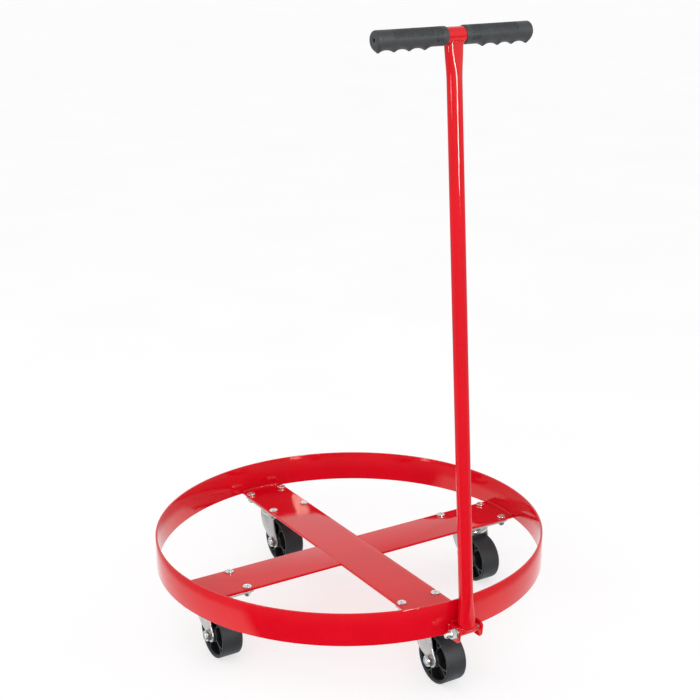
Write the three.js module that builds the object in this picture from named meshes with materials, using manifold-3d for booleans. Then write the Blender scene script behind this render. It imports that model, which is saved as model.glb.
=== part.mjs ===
// Drum dolly: a welded ring on a flat-bar cross, four swivel castors bolted under
// the bar ends, and a T-handle hinged on a bracket outside the ring.
// Millimetres. +Z is up. The origin is the centre of the cross's top face, on the
// ring's axis, where the middle of a drum's base stands. The handle is at -Y and
// the castor axles lie along X.
import * as THREE from "three";
import { mergeVertices } from "three/addons/utils/BufferGeometryUtils.js";
import Module from "manifold-3d";

// ---------------------------------------------------------------- dimensions
const GAP = 0.3; // between faces that touch or are welded together

const RING_INNER_R = 302.5; // takes a 205 litre drum, 585 to 595 across
const RING_WALL = 3;
const RING_HEIGHT = 50;
const RING_SEGMENTS = 96;

const BAR_WIDTH = 75;
const BAR_THICK = 4;

const CASTOR_RADIUS = 240; // ring axis to swivel axis
const CASTOR_HEIGHT = 100; // underside of the bar to the floor
const CASTOR_TRAIL = 22; // swivel axis to axle, towards the handle
const PLATE_LENGTH = 104;
const PLATE_WIDTH = 74;
const PLATE_THICK = 3;
const PLATE_CORNER_R = 7;
const BOLT_LENGTHWISE = 82; // spacing of the plate's bolts along the bar
const BOLT_ACROSS = 60;
const RACE_R = 24;
const RACE_DROP = 3.5; // how far the pressed race stands below the plate
const DUST_RING_R = 26.5;
const CROWN_R = 28;
const CROWN_RIM = 6.5; // depth of the crown's turned-down rim
const FORK_SHEET = 2.5;
const FORK_INNER = 37.5; // between the legs
const WHEEL_R = 37.5;
const WHEEL_WIDTH = 33.5;
const HUB_R = 11.5;
const HUB_WIDTH = 35.5;
const BUSH_R = 6.8;
const AXLE_R = 5;
const AXLE_AF = 16; // axle bolt's head and its nut, across flats

const HINGE_OUT = 17.5; // ring's outer wall to the hinge axis
const HINGE_Z = 5.5;
const BRACKET_WIDTH = 41;
const BRACKET_SHEET = 3;
const BRACKET_TOP = 15;
const BRACKET_BOTTOM = -9.5;
const BRACKET_REACH = 27.2; // ring's outer wall to the ears' outer edge
const SLEEVE_R = 6.75;
const SLEEVE_LENGTH = 31;
const HINGE_BOLT_R = 4;
const HINGE_HEAD_R = 6.4;
const HINGE_HEAD_THICK = 2.2;

const HANDLE_LENGTH = 822; // hinge axis to the axis of the cross tube
const HANDLE_LEAN = 3.43; // degrees from upright, towards the drum
const HANDLE_SLIDE = 1.7; // the sleeve rests against the left ear, this far off the middle
const STEM_R = 10.3;
const TUBE_WALL = 2;
const TBAR_R = 11;
const TBAR_LENGTH = 231;
const GRIP_R = 12.4;
const GRIP_OUTER = 119.5; // middle of the handle to a grip's closed end
const GRIP_INNER = 13.5; // middle of the handle to a grip's open end
const RIDGES = [44.8, 68.3, 91.0, 114.5]; // the finger ridges, from the middle
const RIDGE_DEPTH = 3.8;

const BAR_BOTTOM = -BAR_THICK;
const FLOOR = BAR_BOTTOM - CASTOR_HEIGHT;
const RING_OUTER_R = RING_INNER_R + RING_WALL;
const HINGE_Y = -(RING_OUTER_R + HINGE_OUT);
const DEG = Math.PI / 180;

// ------------------------------------------------------------------ finishes
const paint = () =>
  new THREE.MeshStandardMaterial({ color: 0xd8101c, roughness: 0.22, metalness: 0.0 });
const zinc = () =>
  new THREE.MeshStandardMaterial({ color: 0xc9cacb, roughness: 0.34, metalness: 1.0 });
const bright = () =>
  new THREE.MeshStandardMaterial({ color: 0xd6d4cf, roughness: 0.2, metalness: 1.0 });
const plastic = () =>
  new THREE.MeshStandardMaterial({ color: 0x26282a, roughness: 0.5, metalness: 0.0 });
const rubber = () =>
  new THREE.MeshStandardMaterial({ color: 0x1f2124, roughness: 0.62, metalness: 0.0 });

// ------------------------------------------------------------- solid helpers
const wasm = await Module();
wasm.setup();

function solid(geometry, matrix) {
  const g = geometry.clone();
  g.deleteAttribute("normal");
  g.deleteAttribute("uv");
  if (matrix) g.applyMatrix4(matrix);
  const m = mergeVertices(g, 1e-4);
  return new wasm.Manifold(
    new wasm.Mesh({
      numProp: 3,
      vertProperties: new Float32Array(m.attributes.position.array),
      triVerts: new Uint32Array(m.index.array),
    }),
  );
}

function geometryOf(manifold) {
  const mesh = manifold.getMesh();
  const g = new THREE.BufferGeometry();
  g.setAttribute("position", new THREE.BufferAttribute(new Float32Array(mesh.vertProperties), 3));
  g.setIndex(new THREE.BufferAttribute(new Uint32Array(mesh.triVerts), 1));
  const flat = g.toNonIndexed();
  flat.computeVertexNormals();
  return flat;
}

const at = (x, y, z) => new THREE.Matrix4().makeTranslation(x, y, z);
const aboutX = (a) => new THREE.Matrix4().makeRotationX(a);
const aboutY = (a) => new THREE.Matrix4().makeRotationY(a);
const aboutZ = (a) => new THREE.Matrix4().makeRotationZ(a);

// A cylinder along Z from z0 to z1. A hole's radius is measured over its flats.
function rod(r, z0, z1, sides = 16) {
  return new THREE.CylinderGeometry(r, r, z1 - z0, sides)
    .rotateX(Math.PI / 2)
    .translate(0, 0, (z0 + z1) / 2);
}
const hole = (r, z0, z1, sides = 12) => rod(r / Math.cos(Math.PI / sides), z0, z1, sides);

// A turned solid about Z from [radius, z] points that run from the top down the outside.
function turned(points, sides) {
  const profile = points.map(([r, z]) => new THREE.Vector2(r, z)).reverse();
  return new THREE.LatheGeometry(profile, sides).rotateX(Math.PI / 2);
}

// A prism along Z from z0 to z1 of an outline of [x, y] points.
function prism(points, z0, z1) {
  const shape = new THREE.Shape(points.map(([x, y]) => new THREE.Vector2(x, y)));
  return new THREE.ExtrudeGeometry(shape, {
    depth: z1 - z0,
    bevelEnabled: false,
    steps: 1,
  }).translate(0, 0, z0);
}

// A flat plate from z0 to z1 made of regions that share whole edges. Each region is an
// anticlockwise outline with holes cut in it, so a face can be kept clear of the holes.
function regionPlate(regions, z0, z1) {
  const position = [];
  const triangle = (...corners) => corners.forEach((c) => position.push(...c));
  const walls = new Map();
  const name = ([x, y]) => `${x.toFixed(4)},${y.toFixed(4)}`;
  for (const { outline, holes } of regions) {
    const loops = [outline, ...holes];
    const points = loops.flat();
    const [contour, ...cuts] = loops.map((l) => l.map(([x, y]) => new THREE.Vector2(x, y)));
    for (const corners of THREE.ShapeUtils.triangulateShape(contour, cuts)) {
      let [a, b, c] = corners.map((i) => points[i]);
      if ((b[0] - a[0]) * (c[1] - a[1]) - (b[1] - a[1]) * (c[0] - a[0]) < 0) [b, c] = [c, b];
      triangle([...a, z1], [...b, z1], [...c, z1]);
      triangle([...a, z0], [...c, z0], [...b, z0]);
    }
    for (const loop of loops)
      loop.forEach((a, i) => {
        const b = loop[(i + 1) % loop.length];
        if (!walls.delete(`${name(b)} ${name(a)}`)) walls.set(`${name(a)} ${name(b)}`, [a, b]);
      });
  }
  for (const [a, b] of walls.values()) {
    triangle([...a, z0], [...b, z0], [...b, z1]);
    triangle([...a, z0], [...b, z1], [...a, z1]);
  }
  const g = new THREE.BufferGeometry();
  g.setAttribute("position", new THREE.Float32BufferAttribute(position, 3));
  g.computeVertexNormals();
  return g;
}

function roundedRectangle(length, width, r, perCorner = 3) {
  const points = [];
  const corners = [
    [length / 2 - r, width / 2 - r, 0],
    [-length / 2 + r, width / 2 - r, 90],
    [-length / 2 + r, -width / 2 + r, 180],
    [length / 2 - r, -width / 2 + r, 270],
  ];
  for (const [cx, cy, from] of corners)
    for (let i = 0; i <= perCorner; i++) {
      const a = (from + (90 * i) / perCorner) * DEG;
      points.push([cx + r * Math.cos(a), cy + r * Math.sin(a)]);
    }
  return points;
}

function hexagon(acrossFlats) {
  const r = acrossFlats / Math.sqrt(3);
  return Array.from({ length: 6 }, (_, i) => [
    r * Math.cos(i * 60 * DEG),
    r * Math.sin(i * 60 * DEG),
  ]);
}

// A tube along Z whose section is squeezed near its ends: each station is
// [z, half width along x, half depth along y].
function squeezedTube(stations, sides) {
  const g = new THREE.CylinderGeometry(1, 1, 1, sides, stations.length - 1)
    .rotateX(Math.PI / 2)
    .rotateZ(Math.PI / sides);
  const p = g.attributes.position;
  for (let i = 0; i < p.count; i++) {
    const row = Math.round((p.getZ(i) + 0.5) * (stations.length - 1));
    const [z, halfX, halfY] = stations[row];
    p.setXYZ(i, p.getX(i) * halfX, p.getY(i) * halfY, z);
  }
  return g;
}

const group = new THREE.Group();
group.name = "drum_dolly";

function add(parent, name, geometry, material) {
  const mesh = new THREE.Mesh(geometry, material);
  mesh.name = name;
  parent.add(mesh);
  return mesh;
}

// ---------------------------------------------------------------------- ring
add(
  group,
  "ring",
  geometryOf(
    solid(rod(RING_OUTER_R, BAR_BOTTOM, BAR_BOTTOM + RING_HEIGHT, RING_SEGMENTS)).subtract(
      solid(rod(RING_INNER_R, BAR_BOTTOM - 1, BAR_BOTTOM + RING_HEIGHT + 1, RING_SEGMENTS)),
    ),
  ),
  paint(),
);

// --------------------------------------------------------------------- cross
// Bolt places of one castor, in the castor's own frame: x across, y along the bar.
const BOLT_PLACES = [
  ["a", -BOLT_ACROSS / 2, BOLT_LENGTHWISE / 2],
  ["b", BOLT_ACROSS / 2, BOLT_LENGTHWISE / 2],
  ["c", -BOLT_ACROSS / 2, -BOLT_LENGTHWISE / 2],
  ["d", BOLT_ACROSS / 2, -BOLT_LENGTHWISE / 2],
];
const SCREW_HOLE_R = 3.35;
const screwHoles = BOLT_PLACES.map(([, x, y]) =>
  solid(hole(SCREW_HOLE_R, -20, 20, 8), at(x, y, 0)),
).reduce((a, b) => a.add(b));

// Each end of the cross is cut to the ring's inner wall.
const insideRing = solid(rod(RING_INNER_R - GAP, BAR_BOTTOM - 5, 5, RING_SEGMENTS));

function bar(y0, y1, turn, ends) {
  let s = solid(
    prism(
      [
        [-BAR_WIDTH / 2, y0],
        [BAR_WIDTH / 2, y0],
        [BAR_WIDTH / 2, y1],
        [-BAR_WIDTH / 2, y1],
      ],
      BAR_BOTTOM,
      0,
    ),
  );
  for (const end of ends) s = s.subtract(screwHoles.translate([0, end * CASTOR_RADIUS, 0]));
  return geometryOf(s.transform(aboutZ(turn).elements).intersect(insideRing));
}

// The long bar runs through. Its middle square, where the drum's base is centred, is a
// region of its own, and each end is cut to the ring and has four screw holes.
const HALF_BAR = BAR_WIDTH / 2;
const ringPoint = (i) => {
  const a = (i * 2 * Math.PI) / RING_SEGMENTS;
  return [(RING_INNER_R - GAP) * Math.sin(a), (RING_INNER_R - GAP) * Math.cos(a)];
};
const onRingAt = (x) => {
  const i = Math.floor((Math.asin(x / (RING_INNER_R - GAP)) * RING_SEGMENTS) / (2 * Math.PI));
  const [p, q] = [ringPoint(i), ringPoint(i + 1)];
  return p[1] + ((q[1] - p[1]) * (x - p[0])) / (q[0] - p[0]);
};
const endOutline = [
  [-HALF_BAR, HALF_BAR],
  [HALF_BAR, HALF_BAR],
  [HALF_BAR, onRingAt(HALF_BAR)],
  ringPoint(1),
  ringPoint(0),
  ringPoint(-1),
  [-HALF_BAR, onRingAt(HALF_BAR)],
];
const endHoles = BOLT_PLACES.map(([, x, y]) =>
  Array.from({ length: 8 }, (_, i) => {
    const a = (-(i + 0.5) * Math.PI) / 4;
    const r = SCREW_HOLE_R / Math.cos(Math.PI / 8);
    return [x + r * Math.cos(a), CASTOR_RADIUS + y + r * Math.sin(a)];
  }),
);
const halfTurn = (points) => points.map(([x, y]) => [-x, -y]);
add(
  group,
  "long_bar",
  regionPlate(
    [
      { outline: endOutline, holes: endHoles },
      {
        outline: [
          [-HALF_BAR, -HALF_BAR],
          [HALF_BAR, -HALF_BAR],
          [HALF_BAR, HALF_BAR],
          [-HALF_BAR, HALF_BAR],
        ],
        holes: [],
      },
      { outline: halfTurn(endOutline), holes: endHoles.map(halfTurn) },
    ],
    BAR_BOTTOM,
    0,
  ),
  paint(),
);
add(group, "side_bar_right", bar(BAR_WIDTH / 2 + GAP, RING_OUTER_R, -90 * DEG, [1]), paint());
add(group, "side_bar_left", bar(BAR_WIDTH / 2 + GAP, RING_OUTER_R, 90 * DEG, [1]), paint());

// ------------------------------------------------------------------- castors
const PLATE_TOP = BAR_BOTTOM - GAP;
const PLATE_BOTTOM = PLATE_TOP - PLATE_THICK;
const RACE_BOTTOM = PLATE_BOTTOM - RACE_DROP;
const DUST_TOP = RACE_BOTTOM - GAP;
const DUST_BOTTOM = DUST_TOP - 4;
const CROWN_TOP = DUST_BOTTOM - GAP;
const CROWN_BOTTOM = CROWN_TOP - FORK_SHEET;
const AXLE_Z = FLOOR + WHEEL_R;
const FORK_OUTER = FORK_INNER + 2 * FORK_SHEET;
const KINGPIN_R = 5.5;

// Fixed plate: its long way follows the bar, its middle is pressed down into a race.
const plateSolid = solid(prism(roundedRectangle(PLATE_WIDTH, PLATE_LENGTH, PLATE_CORNER_R, 2), PLATE_BOTTOM, PLATE_TOP))
  .add(solid(turned([[0, PLATE_BOTTOM + 1], [RACE_R + 2, PLATE_BOTTOM + 1], [RACE_R + 2, PLATE_BOTTOM], [RACE_R, RACE_BOTTOM], [0, RACE_BOTTOM]], 20)))
  .subtract(screwHoles)
  .subtract(solid(hole(KINGPIN_R + GAP, -40, 20, 12)))
  .subtract(solid(hole(9.5, PLATE_TOP - 2.4, 20, 12)));
const plateGeometry = geometryOf(plateSolid);

// Kingpin: a flush head in the plate and a riveted head under the fork's crown.
const kingpinGeometry = turned(
  [
    [0, PLATE_TOP - 0.2],
    [9, PLATE_TOP - 0.2],
    [9, PLATE_TOP - 2.1],
    [KINGPIN_R, PLATE_TOP - 2.1],
    [KINGPIN_R, CROWN_BOTTOM - GAP],
    [8.5, CROWN_BOTTOM - GAP],
    [7, CROWN_BOTTOM - 4],
    [0, CROWN_BOTTOM - 4],
  ],
  12,
);

// Dust ring that closes the ball race; it turns with the fork.
const dustRingGeometry = turned(
  [
    [16, DUST_TOP],
    [DUST_RING_R - 1.5, DUST_TOP],
    [DUST_RING_R, DUST_TOP - 1.5],
    [DUST_RING_R, DUST_BOTTOM],
    [16, DUST_BOTTOM],
    [16, DUST_TOP],
  ],
  20,
);

// Fork leg outline in the plane across the axle: [y, z] from the swivel axis. Its
// front edge slopes to the axle, and its back edge bulges, then draws in above it.
const LEG_BACK = 20;
const LEG_FRONT = -19;
const LEG_END_R = 11.5;
function legOutline(top) {
  const points = [
    [LEG_FRONT, top],
    [-21, -30],
    [-26, -48],
    [-31, -59],
  ];
  for (let i = 0; i <= 4; i++) {
    const a = (168 + (177 * i) / 4) * DEG;
    points.push([-CASTOR_TRAIL + LEG_END_R * Math.cos(a), AXLE_Z + LEG_END_R * Math.sin(a)]);
  }
  points.push([-6.5, -65.2], [2, -62], [10, -57], [17.5, -50], [22, -42], [24, -32], [23.5, -22], [LEG_BACK, top]);
  return points;
}
// The outline is drawn in x and y, then stood up so that its depth runs along X.
const standUp = new THREE.Matrix4().set(0, 0, 1, 0, 1, 0, 0, 0, 0, 1, 0, 0, 0, 0, 0, 1);
const leg = (x0, x1) => solid(prism(legOutline(CROWN_TOP), x0, x1), standUp);
const forkGeometry = geometryOf(
  leg(-FORK_OUTER / 2, -FORK_INNER / 2)
    .add(leg(FORK_INNER / 2, FORK_OUTER / 2))
    .add(
      solid(
        prism(
          [
            [-FORK_OUTER / 2, LEG_FRONT],
            [FORK_OUTER / 2, LEG_FRONT],
            [FORK_OUTER / 2, LEG_BACK],
            [-FORK_OUTER / 2, LEG_BACK],
          ],
          CROWN_BOTTOM,
          CROWN_TOP,
        ),
      ),
    )
    .add(
      solid(rod(CROWN_R, CROWN_TOP - CROWN_RIM, CROWN_TOP, 24)).subtract(
        solid(rod(CROWN_R - FORK_SHEET, CROWN_TOP - CROWN_RIM - 1, CROWN_BOTTOM, 24)),
      ),
    )
    .subtract(solid(hole(KINGPIN_R + GAP, CROWN_BOTTOM - 2, CROWN_TOP + 2, 12)))
    .subtract(
      solid(hole(AXLE_R + GAP, -40, 40, 10), at(0, -CASTOR_TRAIL, AXLE_Z).multiply(aboutY(90 * DEG))),
    ),
);

// Axle parts lie along X, and are turned about Z first.
const alongX = (g) => g.clone().rotateY(90 * DEG);
const bushGeometry = alongX(
  turned(
    [
      [AXLE_R + GAP, FORK_INNER / 2 - GAP],
      [BUSH_R, FORK_INNER / 2 - GAP],
      [BUSH_R, -FORK_INNER / 2 + GAP],
      [AXLE_R + GAP, -FORK_INNER / 2 + GAP],
      [AXLE_R + GAP, FORK_INNER / 2 - GAP],
    ],
    12,
  ),
);
const HEAD_AF = 13;
const HEAD_THICK = 5.3;
const HEX_FACE = FORK_OUTER / 2 + GAP;
const axleBoltGeometry = geometryOf(
  solid(rod(AXLE_R - 0.02, -FORK_OUTER / 2 - 9.5, HEX_FACE + 1, 10))
    .add(solid(prism(hexagon(AXLE_AF), HEX_FACE, HEX_FACE + HEAD_THICK)))
    .transform(aboutY(90 * DEG).elements),
);
// Lock nut: a hexagon with a round collar that holds the nylon ring.
const axleNutGeometry = geometryOf(
  solid(prism(hexagon(AXLE_AF), -HEX_FACE - 6.4, -HEX_FACE))
    .add(solid(turned([[0, -HEX_FACE - 5], [7.2, -HEX_FACE - 5], [6.5, -HEX_FACE - 8], [0, -HEX_FACE - 8]], 12)))
    .subtract(solid(hole(AXLE_R + GAP, -60, 0, 10)))
    .transform(aboutY(90 * DEG).elements),
);

// Moulded wheel: a thin rim, a web in the middle plane, four forked ribs a side and a hub.
const RIM_INNER_R = 33.5;
const WEB_HALF = 1.8;
const RIB_HALF = 10.5;
const RIBS = 4; // each splits into two arms before it meets the rim
const SPLIT_R = 21.5;
const ARM_SPREAD = 29; // degrees from the rib's line to each arm
let wheelSolid = solid(
  turned(
    [
      [0, WEB_HALF],
      [RIM_INNER_R - 1.5, WEB_HALF],
      [RIM_INNER_R, WHEEL_WIDTH / 2],
      [WHEEL_R - 1.8, WHEEL_WIDTH / 2],
      [WHEEL_R, WHEEL_WIDTH / 2 - 2.6],
      [WHEEL_R, -WHEEL_WIDTH / 2 + 2.6],
      [WHEEL_R - 1.8, -WHEEL_WIDTH / 2],
      [RIM_INNER_R, -WHEEL_WIDTH / 2],
      [RIM_INNER_R - 1.5, -WEB_HALF],
      [0, -WEB_HALF],
    ],
    28,
  ),
).add(solid(rod(HUB_R, -HUB_WIDTH / 2, HUB_WIDTH / 2, 12)));
for (let i = 0; i < RIBS; i++) {
  const turn = aboutZ((i * 360 * DEG) / RIBS);
  const stemLength = SPLIT_R - HUB_R + 3;
  const stem = new THREE.BoxGeometry(stemLength, 3, 2 * RIB_HALF).translate(HUB_R - 2 + stemLength / 2, 0, 0);
  wheelSolid = wheelSolid.add(solid(stem, turn));
  for (const side of [-1, 1]) {
    const arm = new THREE.BoxGeometry(14, 2.6, 2 * RIB_HALF)
      .translate(7, 0, 0)
      .rotateZ(side * ARM_SPREAD * DEG)
      .translate(SPLIT_R, 0, 0);
    wheelSolid = wheelSolid.add(solid(arm, turn));
  }
}
wheelSolid = wheelSolid.subtract(solid(hole(BUSH_R + GAP, -40, 40, 12)));
const wheelGeometry = geometryOf(wheelSolid.transform(aboutY(90 * DEG).elements));

// Mounting screw: pan head on the bar, shank through bar and plate, nut below.
const NUT_TOP = PLATE_BOTTOM - GAP;
const screwGeometry = geometryOf(
  solid(
    turned(
      [
        [0, 3.4],
        [4.6, 2.9],
        [6.6, 1],
        [6.6, GAP],
        [3, GAP],
        [3, NUT_TOP - 7.5],
        [0, NUT_TOP - 7.5],
      ],
      10,
    ),
  ).add(solid(prism(hexagon(10), NUT_TOP - 5, NUT_TOP))),
);

function castor(name, x, y, turn) {
  const place = new THREE.Group();
  place.position.set(x, y, 0);
  group.add(place);
  const fixed = new THREE.Group(); // follows its bar
  fixed.rotation.z = turn;
  place.add(fixed);
  add(fixed, `${name}_top_plate`, plateGeometry, zinc());
  add(fixed, `${name}_kingpin`, kingpinGeometry, bright());
  for (const [letter, bx, by] of BOLT_PLACES)
    add(fixed, `${name}_screw_${letter}`, screwGeometry, bright()).position.set(bx, by, 0);

  const swivel = new THREE.Group(); // turns about the swivel axis
  place.add(swivel);
  add(swivel, `${name}_dust_ring`, dustRingGeometry, bright());
  add(swivel, `${name}_fork`, forkGeometry, zinc());
  const axle = new THREE.Group();
  axle.position.set(0, -CASTOR_TRAIL, AXLE_Z);
  swivel.add(axle);
  add(axle, `${name}_axle_bolt`, axleBoltGeometry, bright());
  add(axle, `${name}_axle_nut`, axleNutGeometry, bright());
  add(axle, `${name}_wheel`, wheelGeometry, plastic());
  add(axle, `${name}_bush`, bushGeometry, zinc());
}
castor("castor_front", 0, -CASTOR_RADIUS, 0);
castor("castor_back", 0, CASTOR_RADIUS, 180 * DEG);
castor("castor_right", CASTOR_RADIUS, 0, 90 * DEG);
castor("castor_left", -CASTOR_RADIUS, 0, -90 * DEG);

// ------------------------------------------------------------- hinge bracket
// A channel bent from sheet: its web lies on the ring, its two ears stand out.
const wallY = -RING_OUTER_R - GAP;
const earY = (out) => wallY - out;
const earOutline = [
  [earY(0), BRACKET_TOP],
  [earY(0), BRACKET_BOTTOM],
  [earY(BRACKET_REACH - 6.2), BRACKET_BOTTOM],
  [earY(BRACKET_REACH - 2.2), BRACKET_BOTTOM + 4.5],
  [earY(BRACKET_REACH), BRACKET_TOP - 4],
  [earY(BRACKET_REACH - 5), BRACKET_TOP],
];
const ear = (x0, x1) => solid(prism(earOutline, x0, x1), standUp);
const half = BRACKET_WIDTH / 2;
add(
  group,
  "hinge_bracket",
  geometryOf(
    ear(-half, -half + BRACKET_SHEET)
      .add(ear(half - BRACKET_SHEET, half))
      .add(
        solid(
          new THREE.BoxGeometry(BRACKET_WIDTH, BRACKET_SHEET, BRACKET_TOP - BRACKET_BOTTOM),
          at(0, earY(BRACKET_SHEET / 2), (BRACKET_TOP + BRACKET_BOTTOM) / 2),
        ),
      )
      .subtract(
        solid(hole(HINGE_BOLT_R + GAP, -50, 50, 14), at(0, HINGE_Y, HINGE_Z).multiply(aboutY(90 * DEG))),
      ),
  ),
  paint(),
);

const hinge = new THREE.Group();
hinge.position.set(0, HINGE_Y, HINGE_Z);
group.add(hinge);
const boltFace = half + GAP;
// The bolt has a low round head against the right ear.
add(
  hinge,
  "hinge_bolt",
  geometryOf(
    solid(
      turned(
        [
          [0, boltFace + 1],
          [HINGE_BOLT_R, boltFace + 1],
          [HINGE_BOLT_R, -half - 17.2],
          [HINGE_BOLT_R - 1.2, -half - 18.4],
          [0, -half - 18.4],
        ],
        14,
      ),
    )
      .add(
        solid(
          turned(
            [
              [0, boltFace + HINGE_HEAD_THICK],
              [HINGE_HEAD_R - 1.6, boltFace + HINGE_HEAD_THICK],
              [HINGE_HEAD_R, boltFace + 0.9],
              [HINGE_HEAD_R, boltFace],
              [0, boltFace],
            ],
            14,
          ),
        ),
      )
      .transform(aboutY(90 * DEG).elements),
  ),
  bright(),
);
// Lock nut and its washer, drawn up against the left ear as one piece.
const WASHER = 1.6;
const NUT_HIGH = 7.2;
add(
  hinge,
  "hinge_nut_washer",
  geometryOf(
    solid(rod(8, -boltFace - WASHER, -boltFace, 20))
      .add(solid(prism(hexagon(HEAD_AF), -boltFace - WASHER - NUT_HIGH, -boltFace - WASHER + 0.5)))
      .add(
        solid(
          turned(
            [
              [0, -boltFace - WASHER - NUT_HIGH + 1],
              [6, -boltFace - WASHER - NUT_HIGH + 1],
              [5.4, -boltFace - WASHER - NUT_HIGH - 2],
              [0, -boltFace - WASHER - NUT_HIGH - 2],
            ],
            12,
          ),
        ),
      )
      .subtract(solid(hole(HINGE_BOLT_R + GAP, -60, 0, 14)))
      .transform(aboutY(90 * DEG).elements),
  ),
  bright(),
);

// -------------------------------------------------------------------- handle
const handle = new THREE.Group(); // along its own Z, from the hinge axis up
handle.position.x = -HANDLE_SLIDE;
handle.rotation.x = -HANDLE_LEAN * DEG;
hinge.add(handle);

add(
  handle,
  "handle_sleeve",
  alongX(
    turned(
      [
        [HINGE_BOLT_R + GAP, SLEEVE_LENGTH / 2],
        [SLEEVE_R, SLEEVE_LENGTH / 2],
        [SLEEVE_R, -SLEEVE_LENGTH / 2],
        [HINGE_BOLT_R + GAP, -SLEEVE_LENGTH / 2],
        [HINGE_BOLT_R + GAP, SLEEVE_LENGTH / 2],
      ],
      20,
    ),
  ),
  paint(),
);

// Stem: a round tube squeezed wide at the foot, and less so under the cross tube.
const stemOutside = [
  [2, 13.6, 7.2],
  [12, 13.6, 7.2],
  [26, 12.0, 8.9],
  [44, STEM_R, STEM_R],
  [HANDLE_LENGTH - 52, STEM_R, STEM_R],
  [HANDLE_LENGTH - 28, 11.6, 9.2],
  [HANDLE_LENGTH - 15, 12.4, 8.6],
  [HANDLE_LENGTH - 4, 12.4, 8.4],
];
const stemInside = [
  [0, 11.6, 5.2],
  [12, 11.6, 5.2],
  [44, STEM_R - TUBE_WALL, STEM_R - TUBE_WALL],
  [HANDLE_LENGTH - 52, STEM_R - TUBE_WALL, STEM_R - TUBE_WALL],
  [HANDLE_LENGTH - 15, 10.2, 6.4],
  [HANDLE_LENGTH, 10.2, 6.4],
];
const crossTubeCut = solid(rod(TBAR_R + GAP, -40, 40, 16), at(0, 0, HANDLE_LENGTH).multiply(aboutY(90 * DEG)));
const sleeveCut = solid(rod(SLEEVE_R + GAP, -40, 40, 16), aboutY(90 * DEG));
add(
  handle,
  "handle_stem",
  geometryOf(
    solid(squeezedTube(stemOutside, 20))
      .subtract(solid(squeezedTube(stemInside, 10)))
      .subtract(crossTubeCut)
      .subtract(sleeveCut),
  ),
  paint(),
);

add(
  handle,
  "handle_cross_tube",
  alongX(
    turned(
      [
        [TBAR_R - TUBE_WALL, TBAR_LENGTH / 2],
        [TBAR_R, TBAR_LENGTH / 2],
        [TBAR_R, -TBAR_LENGTH / 2],
        [TBAR_R - TUBE_WALL, -TBAR_LENGTH / 2],
        [TBAR_R - TUBE_WALL, TBAR_LENGTH / 2],
      ],
      24,
    ),
  ),
  paint(),
).position.z = HANDLE_LENGTH;

// Grip: a moulded sleeve with a rounded closed end and four finger ridges below.
function grip(side) {
  const body = solid(
    turned(
      [
        [0, GRIP_OUTER],
        [6, GRIP_OUTER],
        [10, GRIP_OUTER - 1.2],
        [GRIP_R, GRIP_OUTER - 4.5],
        [GRIP_R, GRIP_INNER + 1],
        [GRIP_R - 0.6, GRIP_INNER],
        [0, GRIP_INNER],
      ],
      20,
    ),
    aboutY(90 * DEG),
  );
  const low = -GRIP_R;
  const outline = [
    [RIDGES[0] - 13, low + 3],
    [RIDGES[0] - 9.5, low - 0.1],
  ];
  RIDGES.forEach((x, i) => {
    outline.push([x, low - RIDGE_DEPTH]);
    if (i < 3) outline.push([x + 6, low - 1.4], [x + 12, low - 0.6], [x + 18, low - 1.4]);
  });
  outline.push([RIDGES[3] + 3.6, low - 1.2], [GRIP_OUTER - 1, low + 4]);
  const alongY = new THREE.Matrix4().set(1, 0, 0, 0, 0, 0, -1, 0, 0, 1, 0, 0, 0, 0, 0, 1);
  const ridges = solid(prism(outline, -6, 6), alongY);
  let s = body
    .add(ridges)
    .subtract(solid(hole(TBAR_R + GAP, 0, TBAR_LENGTH / 2 + GAP, 20), aboutY(90 * DEG)));
  if (side < 0) s = s.mirror([1, 0, 0]);
  return geometryOf(s);
}
add(handle, "grip_right", grip(1), rubber()).position.z = HANDLE_LENGTH;
add(handle, "grip_left", grip(-1), rubber()).position.z = HANDLE_LENGTH;

export default group;
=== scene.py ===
import math

import bmesh
import bpy
import numpy as np
from mathutils import Matrix, Vector


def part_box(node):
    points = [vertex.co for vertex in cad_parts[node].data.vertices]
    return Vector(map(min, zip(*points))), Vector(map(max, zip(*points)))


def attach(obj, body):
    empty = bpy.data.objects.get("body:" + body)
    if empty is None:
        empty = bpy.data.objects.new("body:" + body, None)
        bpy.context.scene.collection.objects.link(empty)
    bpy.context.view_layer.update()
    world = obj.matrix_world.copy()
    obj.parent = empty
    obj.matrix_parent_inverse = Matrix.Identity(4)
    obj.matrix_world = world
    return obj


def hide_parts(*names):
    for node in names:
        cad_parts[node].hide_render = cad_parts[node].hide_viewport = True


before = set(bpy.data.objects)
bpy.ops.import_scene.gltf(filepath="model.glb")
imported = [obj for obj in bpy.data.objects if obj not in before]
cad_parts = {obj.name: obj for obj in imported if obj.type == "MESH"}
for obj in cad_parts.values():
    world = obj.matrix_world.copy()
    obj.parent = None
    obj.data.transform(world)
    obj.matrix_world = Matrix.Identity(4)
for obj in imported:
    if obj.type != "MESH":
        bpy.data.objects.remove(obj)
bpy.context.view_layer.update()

MM = 0.001
TAU = 2 * math.pi

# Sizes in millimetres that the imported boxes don't give.
RING_WALL = 3.0
GAP = 0.3
BAR_HALF = 37.5
SHEET = 3.0  # hinge bracket
FORK_SHEET = 2.5
FORK_HALF = 18.75  # inside of a fork leg from the middle
TRAIL = 22.0
SLEEVE_R = 6.75
HINGE_BOLT_R = 4.0
HANDLE_LENGTH = 822.0
HANDLE_LEAN = math.radians(3.43)
STEM_R = 10.3
TBAR_R = 11.0
GRIP_R = 12.4
GRIP_OUTER = 119.5
GRIP_INNER = 13.5
RIDGES = (44.8, 68.3, 91.0, 114.5)
RIDGE_DEPTH = 3.8
HEX_AF = 13.0  # hinge nut
AXLE_AF = 16.0  # axle bolt's head and nut
AXLE_R = 5.0
BUSH_R = 6.8


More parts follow.
